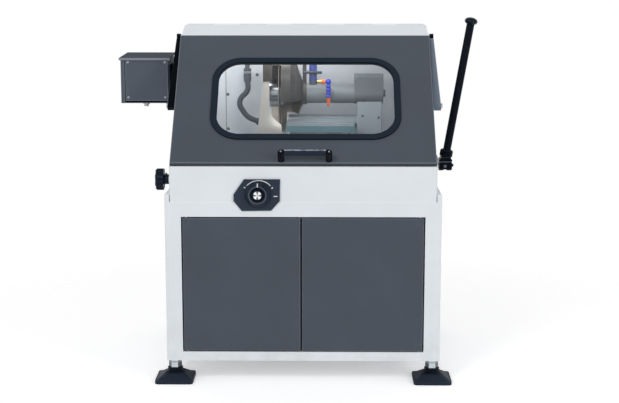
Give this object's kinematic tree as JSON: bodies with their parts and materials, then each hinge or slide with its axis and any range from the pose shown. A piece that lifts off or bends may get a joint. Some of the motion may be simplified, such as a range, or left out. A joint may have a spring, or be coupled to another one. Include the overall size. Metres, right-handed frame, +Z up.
{
  "type": "metallographic cutting machine",
  "caption": "Floor-standing abrasive cutting machine: lever-fed slotted table under a hinged hood with a window, wheel on a horizontal spindle, two-door cabinet on levelling feet.",
  "frame": {"origin": "on the floor, under the middle of the cabinet", "axes": "+X to the feed lever's side, +Y from the front to the back, +Z up"},
  "size_m": [1.1856, 0.6843, 1.1418],
  "materials": {
    "abrasive": "bonded abrasive",
    "bare_steel": "ground steel",
    "black_plastic": "black plastic",
    "black_rubber": "matt black rubber",
    "blue_plastic": "blue jointed-hose plastic",
    "chamber_paint": "light paint inside the chamber",
    "clear_pane": "clear window",
    "deflector_paint": "cream paint",
    "grey_paint": "smooth dark grey paint",
    "guard_paint": "dark grey paint",
    "hose_rubber": "dark grey hose",
    "lever_black": "black painted steel",
    "machine_iron": "machined and painted casting",
    "motor_paint": "grey paint",
    "orange_plastic": "orange plastic",
    "pad_rubber": "foot pad rubber",
    "strut_black": "black lacquer",
    "strut_grey": "grey-blue lacquer",
    "switch_plate": "dark blue-grey plate",
    "tank_plastic": "moulded tank",
    "valve_dark": "dark valve body with a brass elbow",
    "white_paint": "smooth white paint",
    "zinc_steel": "zinc-plated steel"
  },
  "bodies": {
    "base": {"cabinet_side_left": "white_paint", "cabinet_side_right": "white_paint", "cabinet_front_frame": "white_paint", "cabinet_back_panel": "white_paint", "cabinet_floor": "white_paint", "hinge_pins": "zinc_steel", "foot_pads": "pad_rubber", "foot_studs": "zinc_steel", "basin": "white_paint", "drain_pipe": "white_paint", "chamber_side_left": "chamber_paint", "chamber_side_right": "chamber_paint", "chamber_rear_cover": "chamber_paint", "strut_lower_brackets": "zinc_steel", "electric_box": "grey_paint", "electric_box_lid": "grey_paint", "electric_box_cover": "grey_paint", "electric_box_fittings": "zinc_steel", "electric_box_bracket": "grey_paint", "pinion_housing": "machine_iron", "cross_rails": "bare_steel", "head_pedestal": "motor_paint", "spindle_motor": "motor_paint", "spindle_tube": "motor_paint", "spindle_bearings": "bare_steel", "wheel_guard": "guard_paint", "spark_deflector": "deflector_paint", "coolant_hose": "blue_plastic", "coolant_nozzle": "orange_plastic", "coolant_valve": "valve_dark", "supply_hose": "hose_rubber", "dial_plate": "switch_plate", "coolant_tank": "tank_plastic", "coolant_pump": "motor_paint"},
    "hood": {"hood_front_panel": "grey_paint", "hood_top_panel": "white_paint", "window_seal": "black_rubber", "window_pane": "clear_pane", "hood_handle": "black_plastic"},
    "left_door": {"door_left": "grey_paint"},
    "right_door": {"door_right": "grey_paint"},
    "left_strut": {"strut_left_cylinder": "strut_black"},
    "left_strut_rod": {"strut_left_rod": "strut_black"},
    "right_strut": {"strut_right_cylinder": "strut_grey"},
    "right_strut_rod": {"strut_right_rod": "strut_black"},
    "feed_lever": {"lever_rod": "lever_black", "lever_knob": "black_plastic", "lever_hub": "lever_black", "pinion_shaft": "bare_steel"},
    "cross_feed": {"cross_slide": "machine_iron", "guide_rods": "bare_steel"},
    "table_feed": {"cutting_table": "bare_steel", "table_carriage": "machine_iron"},
    "cross_screw": {"feed_screw": "bare_steel", "hand_knob": "black_plastic"},
    "wheel_spindle": {"spindle": "bare_steel", "wheel_flange": "bare_steel", "abrasive_wheel": "abrasive"},
    "switch_knob": {"dial_knob": "black_plastic"},
    "valve_lever": {"valve_handle": "valve_dark"}
  },
  "joints": [
    {"name": "hood_open", "type": "hinge", "parent": "base", "child": "hood", "pos_m": [0, 0.1645, 1.11045], "axis": [-1, 0, 0], "range_deg": [0, 50]},
    {"name": "left_door_open", "type": "hinge", "parent": "base", "child": "left_door", "pos_m": [-0.364, -0.311, 0.32], "axis": [0, 0, -1], "range_deg": [0, 105]},
    {"name": "right_door_open", "type": "hinge", "parent": "base", "child": "right_door", "pos_m": [0.364, -0.311, 0.32], "axis": [0, 0, 1], "range_deg": [0, 105]},
    {"name": "left_strut_tilt", "type": "hinge", "parent": "base", "child": "left_strut", "pos_m": [-0.421, -0.1, 0.862], "axis": [1, 0, 0], "range_deg": [0, 7.89]},
    {"name": "left_strut_extend", "type": "slide", "parent": "left_strut", "child": "left_strut_rod", "axis": [0, 0.6438, 0.7652], "range_m": [0, 0.06489]},
    {"name": "right_strut_tilt", "type": "hinge", "parent": "base", "child": "right_strut", "pos_m": [0.421, -0.1, 0.862], "axis": [1, 0, 0], "range_deg": [0, 7.89]},
    {"name": "right_strut_extend", "type": "slide", "parent": "right_strut", "child": "right_strut_rod", "axis": [0, 0.6438, 0.7652], "range_m": [0, 0.06489]},
    {"name": "feed_lever_pull", "type": "hinge", "parent": "base", "child": "feed_lever", "pos_m": [0, 0, 0.668], "axis": [1, 0, 0], "range_deg": [0, 90]},
    {"name": "cross_screw_turn", "type": "hinge", "parent": "base", "child": "cross_screw", "pos_m": [0, -0.1, 0.621], "axis": [1, 0, 0], "range_deg": [-1081, 1081]},
    {"name": "cross_feed_slide", "type": "slide", "parent": "base", "child": "cross_feed", "axis": [1, 0, 0], "range_m": [-0.015, 0.015]},
    {"name": "table_feed_slide", "type": "slide", "parent": "cross_feed", "child": "table_feed", "axis": [0, 1, 0], "range_m": [0, 0.06136]},
    {"name": "spindle_spin", "type": "hinge", "parent": "base", "child": "wheel_spindle", "pos_m": [0, 0.15, 0.881], "axis": [1, 0, 0], "continuous": true},
    {"name": "switch_turn", "type": "hinge", "parent": "base", "child": "switch_knob", "pos_m": [-0.14, -0.32, 0.608], "axis": [0, 1, 0], "range_deg": [-60, 60]},
    {"name": "valve_turn", "type": "hinge", "parent": "base", "child": "valve_lever", "pos_m": [0.027, 0.098, 0.956], "axis": [0, 1, 0], "range_deg": [0, 90]}
  ],
  "couplings": [
    {"joint": "left_strut_tilt", "follows": "hood_open", "ratio": 0.15615},
    {"joint": "left_strut_extend", "follows": "hood_open", "m_per_rad": 0.073985},
    {"joint": "right_strut_tilt", "follows": "hood_open", "ratio": 0.15615},
    {"joint": "right_strut_extend", "follows": "hood_open", "m_per_rad": 0.073985},
    {"joint": "table_feed_slide", "follows": "feed_lever_pull", "m_per_rad": 0.039},
    {"joint": "cross_screw_turn", "follows": "cross_feed_slide", "rad_per_m": -1256.6}
  ]
}
